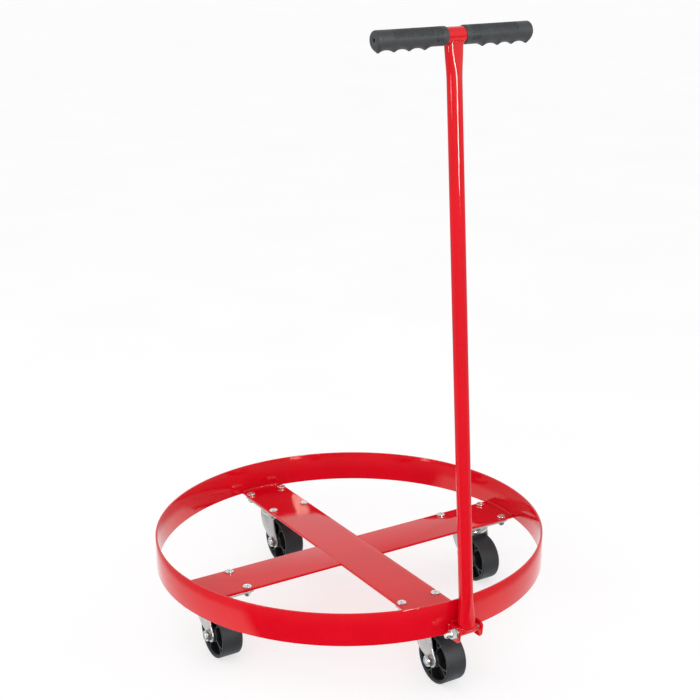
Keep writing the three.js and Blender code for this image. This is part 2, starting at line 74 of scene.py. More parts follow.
def box(node):
    """Lowest and highest corner of a CAD node, in millimetres."""
    lo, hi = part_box(node)
    return np.array(lo) / MM, np.array(hi) / MM


# ------------------------------------------------------------------ materials
def add_node(tree, kind, inputs=(), **settings):
    """A new node with its settings, and each input either linked to a socket or set."""
    node = tree.nodes.new(kind)
    for key, value in settings.items():
        setattr(node, key, value)
    for key, value in dict(inputs).items():
        if isinstance(value, bpy.types.NodeSocket):
            tree.links.new(value, node.inputs[key])
        else:
            node.inputs[key].default_value = value
    return node


class Nodes:
    """A node tree that is written top down: each call adds a node and links its inputs."""

    def __init__(self, name):
        self.material = bpy.data.materials.new(name)
        self.material.use_nodes = True
        self.tree = self.material.node_tree
        self.shader = next(n for n in self.tree.nodes if n.type == "BSDF_PRINCIPLED")
        self.coords = self.tree.nodes.new("ShaderNodeTexCoord").outputs["Object"]

    def add(self, kind, inputs=(), **settings):
        return add_node(self.tree, kind, inputs, **settings)

    def noise(self, scale, detail=3.0, roughness=0.5, stretch=None, distortion=0.0):
        where = self.coords
        if stretch:
            where = self.add("ShaderNodeMapping", {"Vector": where, "Scale": stretch}).outputs[0]
        return self.add(
            "ShaderNodeTexNoise",
            {"Vector": where, "Scale": scale, "Detail": detail, "Roughness": roughness,
             "Distortion": distortion},
        ).outputs["Fac"]

    def cells(self, scale):
        voronoi = self.add("ShaderNodeTexVoronoi", {"Vector": self.coords, "Scale": scale})
        return voronoi.outputs["Distance"]

    def remap(self, value, low, high, start=0.3, stop=0.7):
        return self.add(
            "ShaderNodeMapRange",
            {"Value": value, "From Min": start, "From Max": stop, "To Min": low, "To Max": high},
        ).outputs[0]

    def mix(self, fac, a, b):
        node = self.add("ShaderNodeMix", data_type="RGBA")
        self.tree.links.new(fac, node.inputs[0])
        for socket, value in ((node.inputs[6], a), (node.inputs[7], b)):
            if isinstance(value, bpy.types.NodeSocket):
                self.tree.links.new(value, socket)
            else:
                socket.default_value = (*value, 1)
        return node.outputs[2]

    def bump(self, height, distance, strength=1.0, under=None):
        inputs = {"Height": height, "Distance": distance, "Strength": strength}
        if under is not None:
            inputs["Normal"] = under
        return self.add("ShaderNodeBump", inputs).outputs[0]

    def finish(self, colour, roughness, normal=None, **values):
        self.tree.links.new(colour, self.shader.inputs["Base Color"])
        self.tree.links.new(roughness, self.shader.inputs["Roughness"])
        if normal is not None:
            self.tree.links.new(normal, self.shader.inputs["Normal"])
        for key, value in values.items():
            self.shader.inputs[key.replace("_", " ")].default_value = value
        return self.material


def enamel(name, red, deep, orange_peel=1.0):
    """Gloss powder coat: two close reds in soft clouds, orange peel, and fine dust nibs."""
    n = Nodes(name)
    colour = n.mix(n.remap(n.noise(9.0, 2.0), 0, 1), red, deep)
    colour = n.mix(n.remap(n.noise(240.0, 2.0), 0, 0.10, 0.45, 0.75), colour, (0.80, 0.02, 0.03))
    peel = n.bump(n.noise(330.0, 2.0, 0.45), 0.00006 * orange_peel, 0.8)
    waves = n.bump(n.noise(38.0, 2.0), 0.0005 * orange_peel, 0.35, peel)
    return n.finish(colour, n.remap(n.noise(60.0, 3.0), 0.045, 0.09), waves, Specular_IOR_Level=0.5,
                    Specular_Tint=(1.0, 0.93, 0.78, 1))


def plated(name, light, dark, rough_low, rough_high, grain, metallic=1.0):
    """Zinc plate on pressed or turned steel: cloudy tone, drawn grain and small pits."""
    n = Nodes(name)
    clouds = n.remap(n.noise(55.0, 4.0, 0.6), 0, 1)
    colour = n.mix(clouds, light, dark)
    speckle = n.remap(n.cells(420.0), 0, 0.3, 0.1, 0.7)
    colour = n.mix(speckle, colour, tuple(0.8 * c for c in dark))
    drawn = n.noise(260.0, 3.0, 0.6, stretch=(1.0, 1.0, 0.12))
    surface = n.bump(drawn, 0.00005 * grain, 0.7)
    surface = n.bump(n.noise(900.0, 2.0), 0.00002 * grain, 0.6, surface)
    return n.finish(colour, n.remap(drawn, rough_low, rough_high), surface, Metallic=metallic)


def moulded(name, dark, grey, rough_low, rough_high, grain, specular=0.5, sheen=0.0):
    """Moulded plastic or rubber: flow clouds, scuffs and a fine matt grain."""
    n = Nodes(name)
    colour = n.mix(n.remap(n.noise(28.0, 4.0, 0.6, distortion=0.8), 0, 1), dark, grey)
    dust = n.remap(n.noise(190.0, 4.0, 0.7), 0, 0.35, 0.52, 0.8)
    colour = n.mix(dust, colour, tuple(1.9 * c for c in grey))
    surface = n.bump(n.noise(1500.0, 2.0, 0.6), 0.00004 * grain, 0.8)
    surface = n.bump(n.noise(120.0, 3.0), 0.00012 * grain, 0.35, surface)
    return n.finish(
        colour,
        n.remap(n.noise(80.0, 4.0, 0.6), rough_low, rough_high),
        surface,
        Specular_IOR_Level=specular, Sheen_Weight=sheen, Sheen_Roughness=0.5,
    )


RED = enamel("red_enamel", (0.71, 0.0012, 0.013), (0.64, 0.001, 0.010))
RED_WELD = enamel("red_enamel_on_weld", (0.69, 0.0012, 0.012), (0.59, 0.001, 0.009), 2.5)
ZINC = plated("satin_zinc", (0.72, 0.72, 0.705), (0.56, 0.56, 0.55), 0.30, 0.46, 1.0,
              metallic=0.75)
BRIGHT = plated("bright_zinc", (0.84, 0.84, 0.82), (0.66, 0.66, 0.65), 0.10, 0.22, 0.7,
                metallic=0.86)
WASHER_ZINC = plated("dull_zinc", (0.50, 0.50, 0.49), (0.36, 0.36, 0.36), 0.32, 0.5, 1.2)
WHEEL = moulded("wheel_polypropylene", (0.014, 0.018, 0.021), (0.022, 0.027, 0.031), 0.44, 0.60,
                1.0, specular=0.4)
# A darker copy of the wheel's plastic: painted shade for the faces deep in the rim.
RECESS_SHADE = moulded("wheel_recess_painted_shade", (0.004, 0.005, 0.006), (0.007, 0.009, 0.010), 0.45, 0.62,
                 1.0)
GRIP = moulded("grip_rubber", (0.024, 0.028, 0.031), (0.036, 0.041, 0.045), 0.46, 0.62, 1.6,
               specular=0.42, sheen=0.06)
NYLON = moulded("lock_nut_nylon", (0.42, 0.52, 0.56), (0.34, 0.44, 0.50), 0.35, 0.5, 0.6)


# -------------------------------------------------------------- mesh building
def to_mesh(name, verts, faces, crease=33):
    """A mesh from points in millimetres: doubles merged, normals outward, creases sharp."""
    bm = bmesh.new()
    made = [bm.verts.new(Vector(map(float, v)) * MM) for v in verts]
    for face in faces:
        corners = [made[i] for i in dict.fromkeys(face)]
        if len(corners) > 2 and not bm.faces.get(corners):
            bm.faces.new(corners)
    bmesh.ops.remove_doubles(bm, verts=bm.verts, dist=2e-7)
    bmesh.ops.dissolve_degenerate(bm, edges=bm.edges, dist=1e-8)
    bmesh.ops.recalc_face_normals(bm, faces=bm.faces)
    mesh = bpy.data.meshes.new(name)
    bm.to_mesh(mesh)
    bm.free()
    return shaded(mesh, crease)


def shaded(mesh, crease):
    """Smooth shading, with sharp edges where faces meet at more than crease degrees."""
    mesh.shade_smooth()
    mesh.set_sharp_from_angle(angle=math.radians(crease))
    return mesh


def joined(*parts):
    """Several (verts, faces) as one."""
    verts, faces, base = [], [], 0
    for v, f in parts:
        verts += [tuple(p) for p in v]
        faces += [tuple(i + base for i in face) for face in f]
        base += len(v)
    return verts, faces


def loft(rings, wrap=False):
    """Quads between rings of equal length. wrap joins the last ring to the first; if not,
    both ends are capped."""
    n, m = len(rings[0]), len(rings)
    verts = [tuple(p) for ring in rings for p in ring]
    faces = []
    for i in range(m if wrap else m - 1):
        a, b = i * n, ((i + 1) % m) * n
        faces += [(a + j, a + (j + 1) % n, b + (j + 1) % n, b + j) for j in range(n)]
    if not wrap:
        faces += [tuple(range(n)), tuple(range((m - 1) * n, m * n))]
    return verts, faces


def rounded(points, radius, steps=5):
    """A closed outline with its corners turned into arcs; radius is one or one per corner."""
    out, n = [], len(points)
    for i in range(n):
        a, p, b = (np.array(points[(i + k) % n], float) for k in (-1, 0, 1))
        r = radius if np.isscalar(radius) else radius[i]
        u, v = a - p, b - p
        lu, lv = np.linalg.norm(u), np.linalg.norm(v)
        u, v = u / lu, v / lv
        angle = math.acos(max(-1, min(1, float(u @ v))))
        if r <= 0 or angle > 3.1:
            out.append(tuple(p))
            continue
        reach = min(r / math.tan(angle / 2), 0.48 * lu, 0.48 * lv)
        r = reach * math.tan(angle / 2)
        middle = (u + v) / np.linalg.norm(u + v)
        centre = p + middle * r / math.sin(angle / 2)
        start, stop = p + u * reach - centre, p + v * reach - centre
        sweep = math.pi - angle
        for k in range(steps + 1):
            t = k / steps
            swung = start * math.sin((1 - t) * sweep) + stop * math.sin(t * sweep)
            out.append(tuple(centre + swung / math.sin(sweep)))
    return out


def round_the_clock(sides):
    """Cosine and sine of each of a circle's equal steps."""
    return [(math.cos(TAU * k / sides), math.sin(TAU * k / sides)) for k in range(sides)]


def lathe(profile, sides=96):
    """A turned solid about Z from an [r, z] loop; where the loop meets the axis it closes."""
    rings = [[(r * c, r * s, z) for r, z in profile] for c, s in round_the_clock(sides)]
    n = len(profile)
    verts = [p for ring in rings for p in ring]
    faces = []
    for k in range(sides):
        a, b = k * n, ((k + 1) % sides) * n
        for j in range(n):
            if profile[j][0] == 0 and profile[(j + 1) % n][0] == 0:
                continue
            faces.append((a + j, a + (j + 1) % n, b + (j + 1) % n, b + j))
    return verts, faces


def turned(points, radius=0.4, sides=96, steps=3):
    """lathe() of a loop whose corners off the axis are rounded."""
    radii = [0 if p[0] == 0 else (radius if np.isscalar(radius) else radius[i])
             for i, p in enumerate(points)]
    return lathe(rounded(points, radii, steps), sides)


def inset(outline, by):
    """The closed outline moved inwards by a distance; it runs anticlockwise."""
    p = np.array(outline, float)
    before, after = np.roll(p, 1, 0), np.roll(p, -1, 0)
    e0, e1 = p - before, after - p
    e0 /= np.linalg.norm(e0, axis=1)[:, None]
    e1 /= np.linalg.norm(e1, axis=1)[:, None]
    n0, n1 = np.stack([-e0[:, 1], e0[:, 0]], 1), np.stack([-e1[:, 1], e1[:, 0]], 1)
    n = n0 + n1
    n /= np.maximum(np.linalg.norm(n, axis=1)[:, None], 1e-6)
    return p + n * (by / np.maximum((n * n1).sum(1), 0.5))[:, None]


def plate(outline, z0, z1, edge=0.5, steps=3):
    """A flat plate from z0 to z1 of an outline, with its rims rounded."""
    area = sum(a[0] * b[1] - b[0] * a[1] for a, b in zip(outline, outline[1:] + outline[:1]))
    if area < 0:
        outline = outline[::-1]
    rings = []
    for k in range(steps + 1):
        a = (k / steps) * math.pi / 2
        ring = inset(outline, edge * (1 - math.sin(a)))
        rings.append([(x, y, z0 + edge * (1 - math.cos(a))) for x, y in ring])
    for k in range(steps + 1):
        a = (k / steps) * math.pi / 2
        ring = inset(outline, edge * (1 - math.cos(a)))
        rings.append([(x, y, z1 - edge * (1 - math.sin(a))) for x, y in ring])
    return loft(rings)


def moved(part, change):
    """A (verts, faces) pair with a function or a matrix applied to its points."""
    if isinstance(change, Matrix):
        return [tuple(change @ Vector(map(float, v))) for v in part[0]], part[1]
    return [tuple(change(*map(float, v))) for v in part[0]], part[1]


def along_x(part):
    """Turns a part made about Z so that its axis lies along X."""
    return moved(part, lambda x, y, z: (z, y, -x))


BEND_STEPS = 8


def bent(part, fold, r_in, thick):
    """Bends a flat sheet, made in x and y with z from -thick/2 to thick/2, down by a right
    angle at x = +fold and x = -fold, so that its legs hang along -Z."""
    neutral = r_in + thick / 2
    arc = neutral * math.pi / 2
    bm = bmesh.new()
    made = [bm.verts.new(v) for v in part[0]]
    for face in part[1]:
        bm.faces.new([made[i] for i in face])
    for side in (-1, 1):
        for k in range(BEND_STEPS + 1):
            bmesh.ops.bisect_plane(
                bm, geom=bm.verts[:] + bm.edges[:] + bm.faces[:],
                plane_co=(side * (fold + arc * k / BEND_STEPS), 0, 0), plane_no=(1, 0, 0),
            )
    verts = []
    bm.verts.index_update()
    for v in bm.verts:
        s, y, w = v.co
        side, s = (1 if s >= 0 else -1), abs(s)
        if s <= fold:
            x, z = s, w
        elif s <= fold + arc:
            a = (s - fold) / neutral
            x, z = fold + (neutral + w) * math.sin(a), -neutral + (neutral + w) * math.cos(a)
        else:
            x, z = fold + neutral + w, -neutral - (s - fold - arc)
        verts.append((side * x, y, z))
    faces = [tuple(v.index for v in f.verts) for f in bm.faces]
    bm.free()
    return verts, faces


def carved(name, body, cutter, crease):
    """The body less the cutter, both (verts, faces) pairs, as a mesh."""
    pair = [bpy.data.objects.new("carve", to_mesh("carve", *part)) for part in (body, cutter)]
    for o in pair:
        bpy.context.scene.collection.objects.link(o)
    step = pair[0].modifiers.new("carve", "BOOLEAN")
    step.object, step.operation, step.solver = pair[1], "DIFFERENCE", "EXACT"
    graph = bpy.context.evaluated_depsgraph_get()
    mesh = bpy.data.meshes.new_from_object(pair[0].evaluated_get(graph))
    for o in pair:
        bpy.data.objects.remove(o)
    mesh.name = name
    mesh.materials.clear()
    return shaded(mesh, crease)


HEX_SIDES = 96
HEX_CHAMFER = math.radians(28)
BORE_CHAMFER = 0.7


def hexagonal(af, z0, z1, bore, low=True):
    """A hexagon nut or head, af across its flats, with its corners chamfered: at z0 too if low
    is set. It has a bore where bore, a radius, isn't 0."""
    corner, face = af / math.sqrt(3), 0.965 * af / 2
    rings = []
    levels = [0, 0.25, 0.5, 0.75, 1]
    drop = (corner - face) * math.tan(HEX_CHAMFER)
    stops = [(z0 + drop * t, face + (corner - face) * t if low else corner) for t in levels]
    stops += [(z1 - drop * t, face + (corner - face) * t) for t in levels[::-1]]
    for z, reach in stops:
        ring = []
        for k, (c, s) in enumerate(round_the_clock(HEX_SIDES)):
            flat = (af / 2) / math.cos((TAU * k / HEX_SIDES % (TAU / 6)) - TAU / 12)
            r = min(flat, reach)
            ring.append((r * c, r * s, z))
        rings.append(ring)
    if not bore:
        return loft(rings)
    wide = bore + BORE_CHAMFER
    for z, r in ((z1, wide), (z1 - BORE_CHAMFER, bore), (z0 + BORE_CHAMFER, bore), (z0, wide)):
        rings.append([(r * c, r * s, z) for c, s in round_the_clock(HEX_SIDES)])
    return loft(rings, wrap=True)


def thread(r, z0, z1, pitch=1.25, depth=0.62, sides=32, tip=1.0):
    """A threaded rod with a helical groove, from z0 to z1, where z0 has a chamfer of tip."""
    rings = []
    rows = max(2, int((z1 - z0) / pitch * 8))
    for i in range(rows + 1):
        z = z0 + (z1 - z0) * i / rows
        fade = min(1.0, (z1 - z) / pitch)
        ring = []
        for k, (c, s) in enumerate(round_the_clock(sides)):
            phase = (z / pitch - k / sides) % 1
            groove = depth * abs(2 * phase - 1) ** 1.2 * fade
            radius = min(r - groove, r - tip + (z - z0) + 0.05)
            ring.append((radius * c, radius * s, z))
        rings.append(ring)
    return loft(rings)


BEAD_SIDES = 14


def tube(path, radii, closed=False):
    """A round tube along a path of points, with a radius at each."""
    p = np.array(path, float)
    if closed:
        along = np.roll(p, -1, 0) - np.roll(p, 1, 0)
    else:
        along = np.gradient(p, axis=0)
    along /= np.linalg.norm(along, axis=1)[:, None]
    side = np.cross(along[0], (0.31, 0.52, 0.8))
    rings = []
    for point, t, r in zip(p, along, radii):
        side = side - t * (side @ t)
        side /= np.linalg.norm(side)
        other = np.cross(t, side)
        rings.append([point + r * (c * side + s * other)
                      for c, s in round_the_clock(BEAD_SIDES)])
    return loft(rings, wrap=closed)


BEAD_STEP = 0.45  # from one ring of a bead to the next


def bead(path, radius, seed, pitch=2.6, closed=False):
    """A weld bead along a path: overlapping ripples, a wandering line and tapered ends."""
    chance = np.random.default_rng(seed)
    p = np.array(path, float)
    if closed:
        p = np.vstack([p, p[:1]])
    run = np.concatenate([[0], np.cumsum(np.linalg.norm(np.diff(p, axis=0), axis=1))])
    total = run[-1]
    count = max(8, int(total / BEAD_STEP))
    s = np.linspace(0, total, count, endpoint=not closed)
    fine = np.stack([np.interp(s, run, p[:, k]) for k in range(3)], 1)
    phases = chance.uniform(0, TAU, 6)
    wander = sum(np.sin(TAU * s / w + f) for w, f in zip((23.0, 11.0, 7.0), phases)) / 3
    swell = sum(np.sin(TAU * s / w + f) for w, f in zip((17.0, 9.0, 5.3), phases[3:])) / 3
    ripple = 1 - np.abs(2 * ((s / pitch + 0.15 * swell) % 1) - 1) ** 2
    r = radius * (0.86 + 0.10 * ripple + 0.10 * swell)
    if not closed:
        end = np.minimum(s, total - s) / (1.6 * radius)
        r = r * np.sqrt(np.clip(end, 0.02, 1))
    fine = fine + np.stack([0 * s, 0 * s, 0.16 * radius * wander], 1)
    return tube(fine, r, closed=closed)


def piece(name, mesh, material, body, stands_for=(), place=None):
    """Shows a mesh as a piece of the object, in place, riding on a body."""
    if place is not None:
        mesh = mesh.copy()
        mesh.name = name
        mesh.transform(place)
    mesh.materials.clear()
    mesh.materials.append(material)
    o = bpy.data.objects.new(name, mesh)
    bpy.context.scene.collection.objects.link(o)
    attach(o, body)
    if stands_for:
        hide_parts(*stands_for)
    return o


def shift(x, y, z):
    """A move by millimetres."""
    return Matrix.Translation((x * MM, y * MM, z * MM))


# ----------------------------------------------------------------------- ring
ring_lo, ring_hi = box("ring")
R_OUT = float(ring_hi[0])
R_IN = R_OUT - RING_WALL
TOP, BOTTOM = float(ring_hi[2]), float(ring_lo[2])
EDGE = 0.7  # radius of the rims of the ring and bars
SIDES = ((1, "right"), (-1, "left"))
piece(
    "ring_band",
    to_mesh("ring_band", *turned([(R_IN, BOTTOM), (R_OUT, BOTTOM), (R_OUT, TOP), (R_IN, TOP)],
                                 EDGE, sides=288)),
    RED, "base", ["ring"],
)

# ---------------------------------------------------------------------- cross
BAR_LOW = float(box("long_bar")[0][2])
END_R = R_IN - GAP


def end_arc(sign, n=24):
    """Points of a bar's curved end, which follows the ring's inner wall."""
    reach = math.asin(BAR_HALF / END_R)
    return [(END_R * math.sin(sign * reach * (1 - 2 * k / n)),
             sign * END_R * math.cos(reach * (1 - 2 * k / n))) for k in range(n + 1)]


piece("bar_long", to_mesh("bar_long", *plate(end_arc(1) + end_arc(-1), BAR_LOW, 0, EDGE)),
      RED, "base", ["long_bar"])
for side, name in SIDES:
    outline = [(y, x) for x, y in end_arc(1)]
    outline += [(BAR_HALF + GAP, -BAR_HALF), (BAR_HALF + GAP, BAR_HALF)]
    outline = [(side * x, y) for x, y in outline]
    piece(f"bar_{name}", to_mesh(f"bar_{name}", *plate(outline, BAR_LOW, 0, EDGE)),
          RED, "base", [f"side_bar_{name}"])


def weld(name, path, radius, seed, body="base", place=None, closed=False, pitch=2.6):
    """Shows a painted weld bead along a path."""
    piece(name, to_mesh(name, *bead(path, radius, seed, pitch, closed), crease=60),
          RED_WELD, body, (), place)


def line(a, b, n=60):
    """Points of a straight line from a to b."""
    return [tuple(np.array(a) + (np.array(b) - np.array(a)) * k / n) for k in range(n + 1)]


# Each weld's radius is followed by the seed of its ripples.
for side, name in SIDES:
    x, z = side * (BAR_HALF + GAP / 2), BAR_LOW - 0.3
    weld(f"weld_cross_top_{name}", line((x, -37.0, -0.95), (x, 37.0, -0.95)), 1.25, 11 + side,
         pitch=3.4)
    weld(f"weld_cross_under_{name}", line((x, -36.5, z), (x, 36.5, z)), 2.6, 21 + side)
BAR_WELD_R = R_IN - 0.5
BAR_WELD_REACH = 0.116  # radians to each side of the bar's middle
BAR_WELD_STEPS = 80
for k, name in enumerate(("back", "right", "front", "left")):
    middle = math.pi / 2 - k * math.pi / 2
    turns = [middle + BAR_WELD_REACH * (2 * t / BAR_WELD_STEPS - 1)
             for t in range(BAR_WELD_STEPS + 1)]
    for z, radius, label, seed in ((0.1, 1.7, "top", 41 + k),
                                   (BAR_LOW - 0.5, 2.2, "under", 31 + k)):
        seam = [(BAR_WELD_R * math.cos(a), BAR_WELD_R * math.sin(a), z) for a in turns]
        weld(f"weld_bar_{name}_{label}", seam, radius, seed)

# -------------------------------------------------------------------- castors
AXLE = box("castor_front_wheel")
AXLE_Z = float((AXLE[0][2] + AXLE[1][2]) / 2)
WHEEL_R = float((AXLE[1][2] - AXLE[0][2]) / 2)
PLATE_TOP = float(box("castor_front_top_plate")[1][2])
PLATE_BOTTOM = PLATE_TOP - 3.0
PLATE_HALF_X, PLATE_HALF_Y, PLATE_CORNER = 37, 52, 7
dust_lo, dust_hi = box("castor_front_dust_ring")
DUST_TOP, DUST_BOTTOM, DUST_R = float(dust_hi[2]), float(dust_lo[2]), float(dust_hi[0])
CROWN_TOP = float(box("castor_front_fork")[1][2])
NUT_TOP = PLATE_BOTTOM - GAP
HUB_HALF = 17.75
RIM_HALF = 16.75
RACE_BORE = 6.2

corner_outline = rounded([(-PLATE_HALF_X, -PLATE_HALF_Y), (PLATE_HALF_X, -PLATE_HALF_Y),
                          (PLATE_HALF_X, PLATE_HALF_Y), (-PLATE_HALF_X, PLATE_HALF_Y)],
                         PLATE_CORNER, 8)
top_plate = to_mesh("castor_plate", *plate(corner_outline, PLATE_BOTTOM, PLATE_TOP, 0.6))
upper_race = to_mesh("castor_upper_race", *turned(
    [(RACE_BORE, PLATE_BOTTOM + 1.0), (27.0, PLATE_BOTTOM + 1.0), (26.6, PLATE_BOTTOM - 0.4),
     (24.0, PLATE_BOTTOM - 3.4), (RACE_BORE, PLATE_BOTTOM - 3.4)], [0, 0, 1.0, 1.0, 0]))
kingpin = to_mesh("castor_kingpin", *turned(
    [(0, PLATE_TOP - 0.2), (9.0, PLATE_TOP - 0.2), (9.0, PLATE_TOP - 2.1), (5.5, PLATE_TOP - 2.1),
     (5.5, CROWN_TOP - 2.9), (8.4, CROWN_TOP - 2.9), (7.2, CROWN_TOP - 5.6), (4.4, CROWN_TOP - 6.5),
     (0, CROWN_TOP - 6.5)], [0, .4, .2, .2, .2, .5, .9, .6, 0], 64))
dust_ring = to_mesh("castor_dust_ring", *turned(
    [(16, DUST_TOP), (DUST_R - 0.8, DUST_TOP), (DUST_R, DUST_TOP - 1.4),
     (DUST_R, DUST_BOTTOM + 0.6), (DUST_R - 1.2, DUST_BOTTOM), (16, DUST_BOTTOM)],
    [0, 0.9, 0.9, 0.6, 0.4, 0]))
race_cup = to_mesh("castor_race_cup", *turned(
    [(RACE_BORE, CROWN_TOP), (25.6, CROWN_TOP), (28.0, CROWN_TOP - 1.6), (28.0, CROWN_TOP - 6.0),
     (27.0, CROWN_TOP - 6.6), (25.2, CROWN_TOP - 6.6), (25.0, CROWN_TOP - 3.2),
     (RACE_BORE, CROWN_TOP - 3.2)],
    [0, 1.2, 1.4, 0.8, 0.5, 0.4, 0.6, 0]))

# Fork: one bent sheet. Its legs' outline is [y, z] from the swivel axis, round the axle's end
# and back up the leading edge.
LEG_END_R = 11.5
LEG_END_STEPS = 12
leg = [(-19.0, CROWN_TOP - 3.4), (-20.6, -30.0), (-25.2, -48.0)]
for k in range(LEG_END_STEPS + 1):
    a = math.radians(166 + 180 * k / LEG_END_STEPS)
    leg.append((-TRAIL + LEG_END_R * math.cos(a), AXLE_Z + LEG_END_R * math.sin(a)))
leg += [(-6.5, -65.2), (2.0, -62.0), (10.0, -57.2), (17.2, -50.4), (21.8, -42.2),
        (23.8, -32.5), (23.4, -24.0), (20.0, CROWN_TOP - 3.4)]
BEND_IN = 3.4
fold = FORK_HALF - BEND_IN
neutral = BEND_IN + FORK_SHEET / 2
bend_top = CROWN_TOP - 0.5 - FORK_SHEET / 2  # the sheet's middle in the crown


def blank(y, z):
    """A leg's point on the flat blank."""
    return fold + neutral * math.pi / 2 + (bend_top - neutral - z), y


half_blank = [blank(y, min(z, bend_top - neutral - 0.5)) for y, z in leg]
half_blank.append((fold * 0.6, 20.6))  # the crown's leading edge
corners = [6, 14, 12] + [0] * (LEG_END_STEPS + 1) + [5, 12, 12, 12, 12, 10, 8, 8, 3]
fork_outline = rounded(half_blank + [(-x, y) for x, y in half_blank[::-1]],
                       corners + corners[::-1], 4)
fork_flat = plate(fork_outline, -FORK_SHEET / 2, FORK_SHEET / 2, 0.55)
fork_bent = moved(bent(fork_flat, fold, BEND_IN, FORK_SHEET),
                  lambda x, y, z: (x, y, z + bend_top))
fork = to_mesh("castor_fork", *fork_bent, crease=28)

# Axle parts, made about Z and laid along X, with the axle at the origin.
FORK_OUT = FORK_HALF + FORK_SHEET
HEX_FACE = FORK_OUT + GAP
SHANK_R = AXLE_R - 0.05
axle_bolt = to_mesh("castor_axle_bolt", *along_x(joined(
    hexagonal(AXLE_AF, HEX_FACE, HEX_FACE + 5.3, 0, low=False),
    turned([(0, HEX_FACE + 0.2), (SHANK_R, HEX_FACE + 0.2), (SHANK_R, -FORK_OUT), (0, -FORK_OUT)],
           0, 32),
    thread(AXLE_R - 0.02, -FORK_OUT - 7.4, -FORK_OUT + 0.2),
)), crease=28)
# The nut's collar holds a nylon ring, whose radius runs from INSERT_IN to INSERT_OUT.
lock_nut = to_mesh("castor_lock_nut", *along_x(joined(
    hexagonal(AXLE_AF, -HEX_FACE - 6.6, -HEX_FACE, AXLE_R + 0.2),
    turned([(6.0, -HEX_FACE - 6.2), (7.1, -HEX_FACE - 6.2), (6.8, -HEX_FACE - 7.5),
            (6.4, -HEX_FACE - 8.0), (6.0, -HEX_FACE - 7.9)], [0, 0, 0.5, 0.2, 0.1], 64),
)), crease=28)
INSERT_IN, INSERT_OUT = AXLE_R - 0.1, 6.2
nut_insert = to_mesh("castor_nut_insert", *along_x(turned(
    [(INSERT_IN, -HEX_FACE - 5.4), (INSERT_OUT, -HEX_FACE - 5.4), (INSERT_OUT, -HEX_FACE - 7.8),
     (INSERT_IN, -HEX_FACE - 7.8)], 0.15, 48)))
bush = to_mesh("castor_bush", *along_x(turned(
    [(AXLE_R + GAP, FORK_HALF - GAP), (BUSH_R, FORK_HALF - GAP), (BUSH_R, -FORK_HALF + GAP),
     (AXLE_R + GAP, -FORK_HALF + GAP)], 0.3, 48)))

# Wheel: the rim's near edge is crisp and its far edge is well rounded. Four ribs a side
# split into two arms near the rim, with a small hole between the arms.
RIM_IN = 33.9
HUB_R = 11.7
HUB_FACE_R = 10.9
BORE_R = BUSH_R + GAP
DEPTH = 14.6  # the ribs' faces from the middle plane
wheel_body = lathe(rounded(
    [(BORE_R, HUB_HALF), (HUB_FACE_R, HUB_HALF), (HUB_R, DEPTH), (RIM_IN - 1.2, DEPTH),
     (RIM_IN, RIM_HALF), (WHEEL_R - 0.4, RIM_HALF), (WHEEL_R, RIM_HALF - 4.6),
     *[(WHEEL_R, x) for x in (2.55, 2.1, 1.65)],  # rings that keep the tread's shading flat
     (WHEEL_R, -RIM_HALF + 1.4), (WHEEL_R - 0.5, -RIM_HALF), (RIM_IN, -RIM_HALF),
     (RIM_IN - 1.2, -DEPTH), (HUB_R, -DEPTH), (HUB_FACE_R, -HUB_HALF), (BORE_R, -HUB_HALF)],
    [0.5, 0.8, 1.4, 1.4, 0.7, 3.6, 3.0, 0, 0, 0, 0.9, 0.7, 0.7, 1.4, 1.4, 0.8, 0.5], 5), 120)
RIBS = 4
SPLIT_R = 21.5
ARM_SPREAD = math.radians(29.0)
RIB_SIDE = 1.5  # half a rib's thickness
ARM_SIDE = 1.25  # half an arm's
POCKET_OUT = RIM_IN - 1.7
POCKET_IN = HUB_R + 0.9
WEB_HALF = 1.8  # the disc left between the pockets of the two sides
OUT_STEPS, IN_STEPS = 8, 6  # of a pocket's outer and inner arc


def beside(angle, radius, offset):
    """The point at a radius on a line that runs beside a spoke at an angle."""
    along = math.sqrt(radius * radius - offset * offset)
    c, s = math.cos(angle), math.sin(angle)
    return along * c - offset * s, along * s + offset * c


def arc(radius, reach, steps):
    """Points of an arc about the axle, from the angle -reach to +reach."""
    turns = (-reach + 2 * reach * k / steps for k in range(steps + 1))
    return [(radius * math.cos(a), radius * math.sin(a)) for a in turns]


def arm_end(offset):
    """Angle from the rib's line at which an arm's side meets the pocket's outer arc."""
    # The arm's side passes SPLIT_R on the rib's line at a slant; offset shifts it sideways.
    x0, y0 = SPLIT_R - offset * math.sin(ARM_SPREAD), offset * math.cos(ARM_SPREAD)
    ux, uy = math.cos(ARM_SPREAD), math.sin(ARM_SPREAD)
    b = x0 * ux + y0 * uy
    t = -b + math.sqrt(b * b - (x0 * x0 + y0 * y0 - POCKET_OUT ** 2))
    return math.atan2(y0 + t * uy, x0 + t * ux)


half_gap = math.pi / RIBS
split_low, split_high = arm_end(-ARM_SIDE), arm_end(ARM_SIDE)
# A big pocket from one rib to the next, symmetric about angle 0.
elbow = beside(half_gap, SPLIT_R + 0.3, -RIB_SIDE)
pocket = arc(POCKET_OUT, half_gap - split_high, OUT_STEPS) + [elbow]
pocket += arc(POCKET_IN, half_gap - math.asin(RIB_SIDE / POCKET_IN), IN_STEPS)[::-1]
pocket.append((elbow[0], -elbow[1]))
pocket = rounded(pocket, [2.2] + [0] * (OUT_STEPS - 1) + [2.2, 4.0, 1.8]
                 + [0] * (IN_STEPS - 1) + [1.8, 4.0], 6)
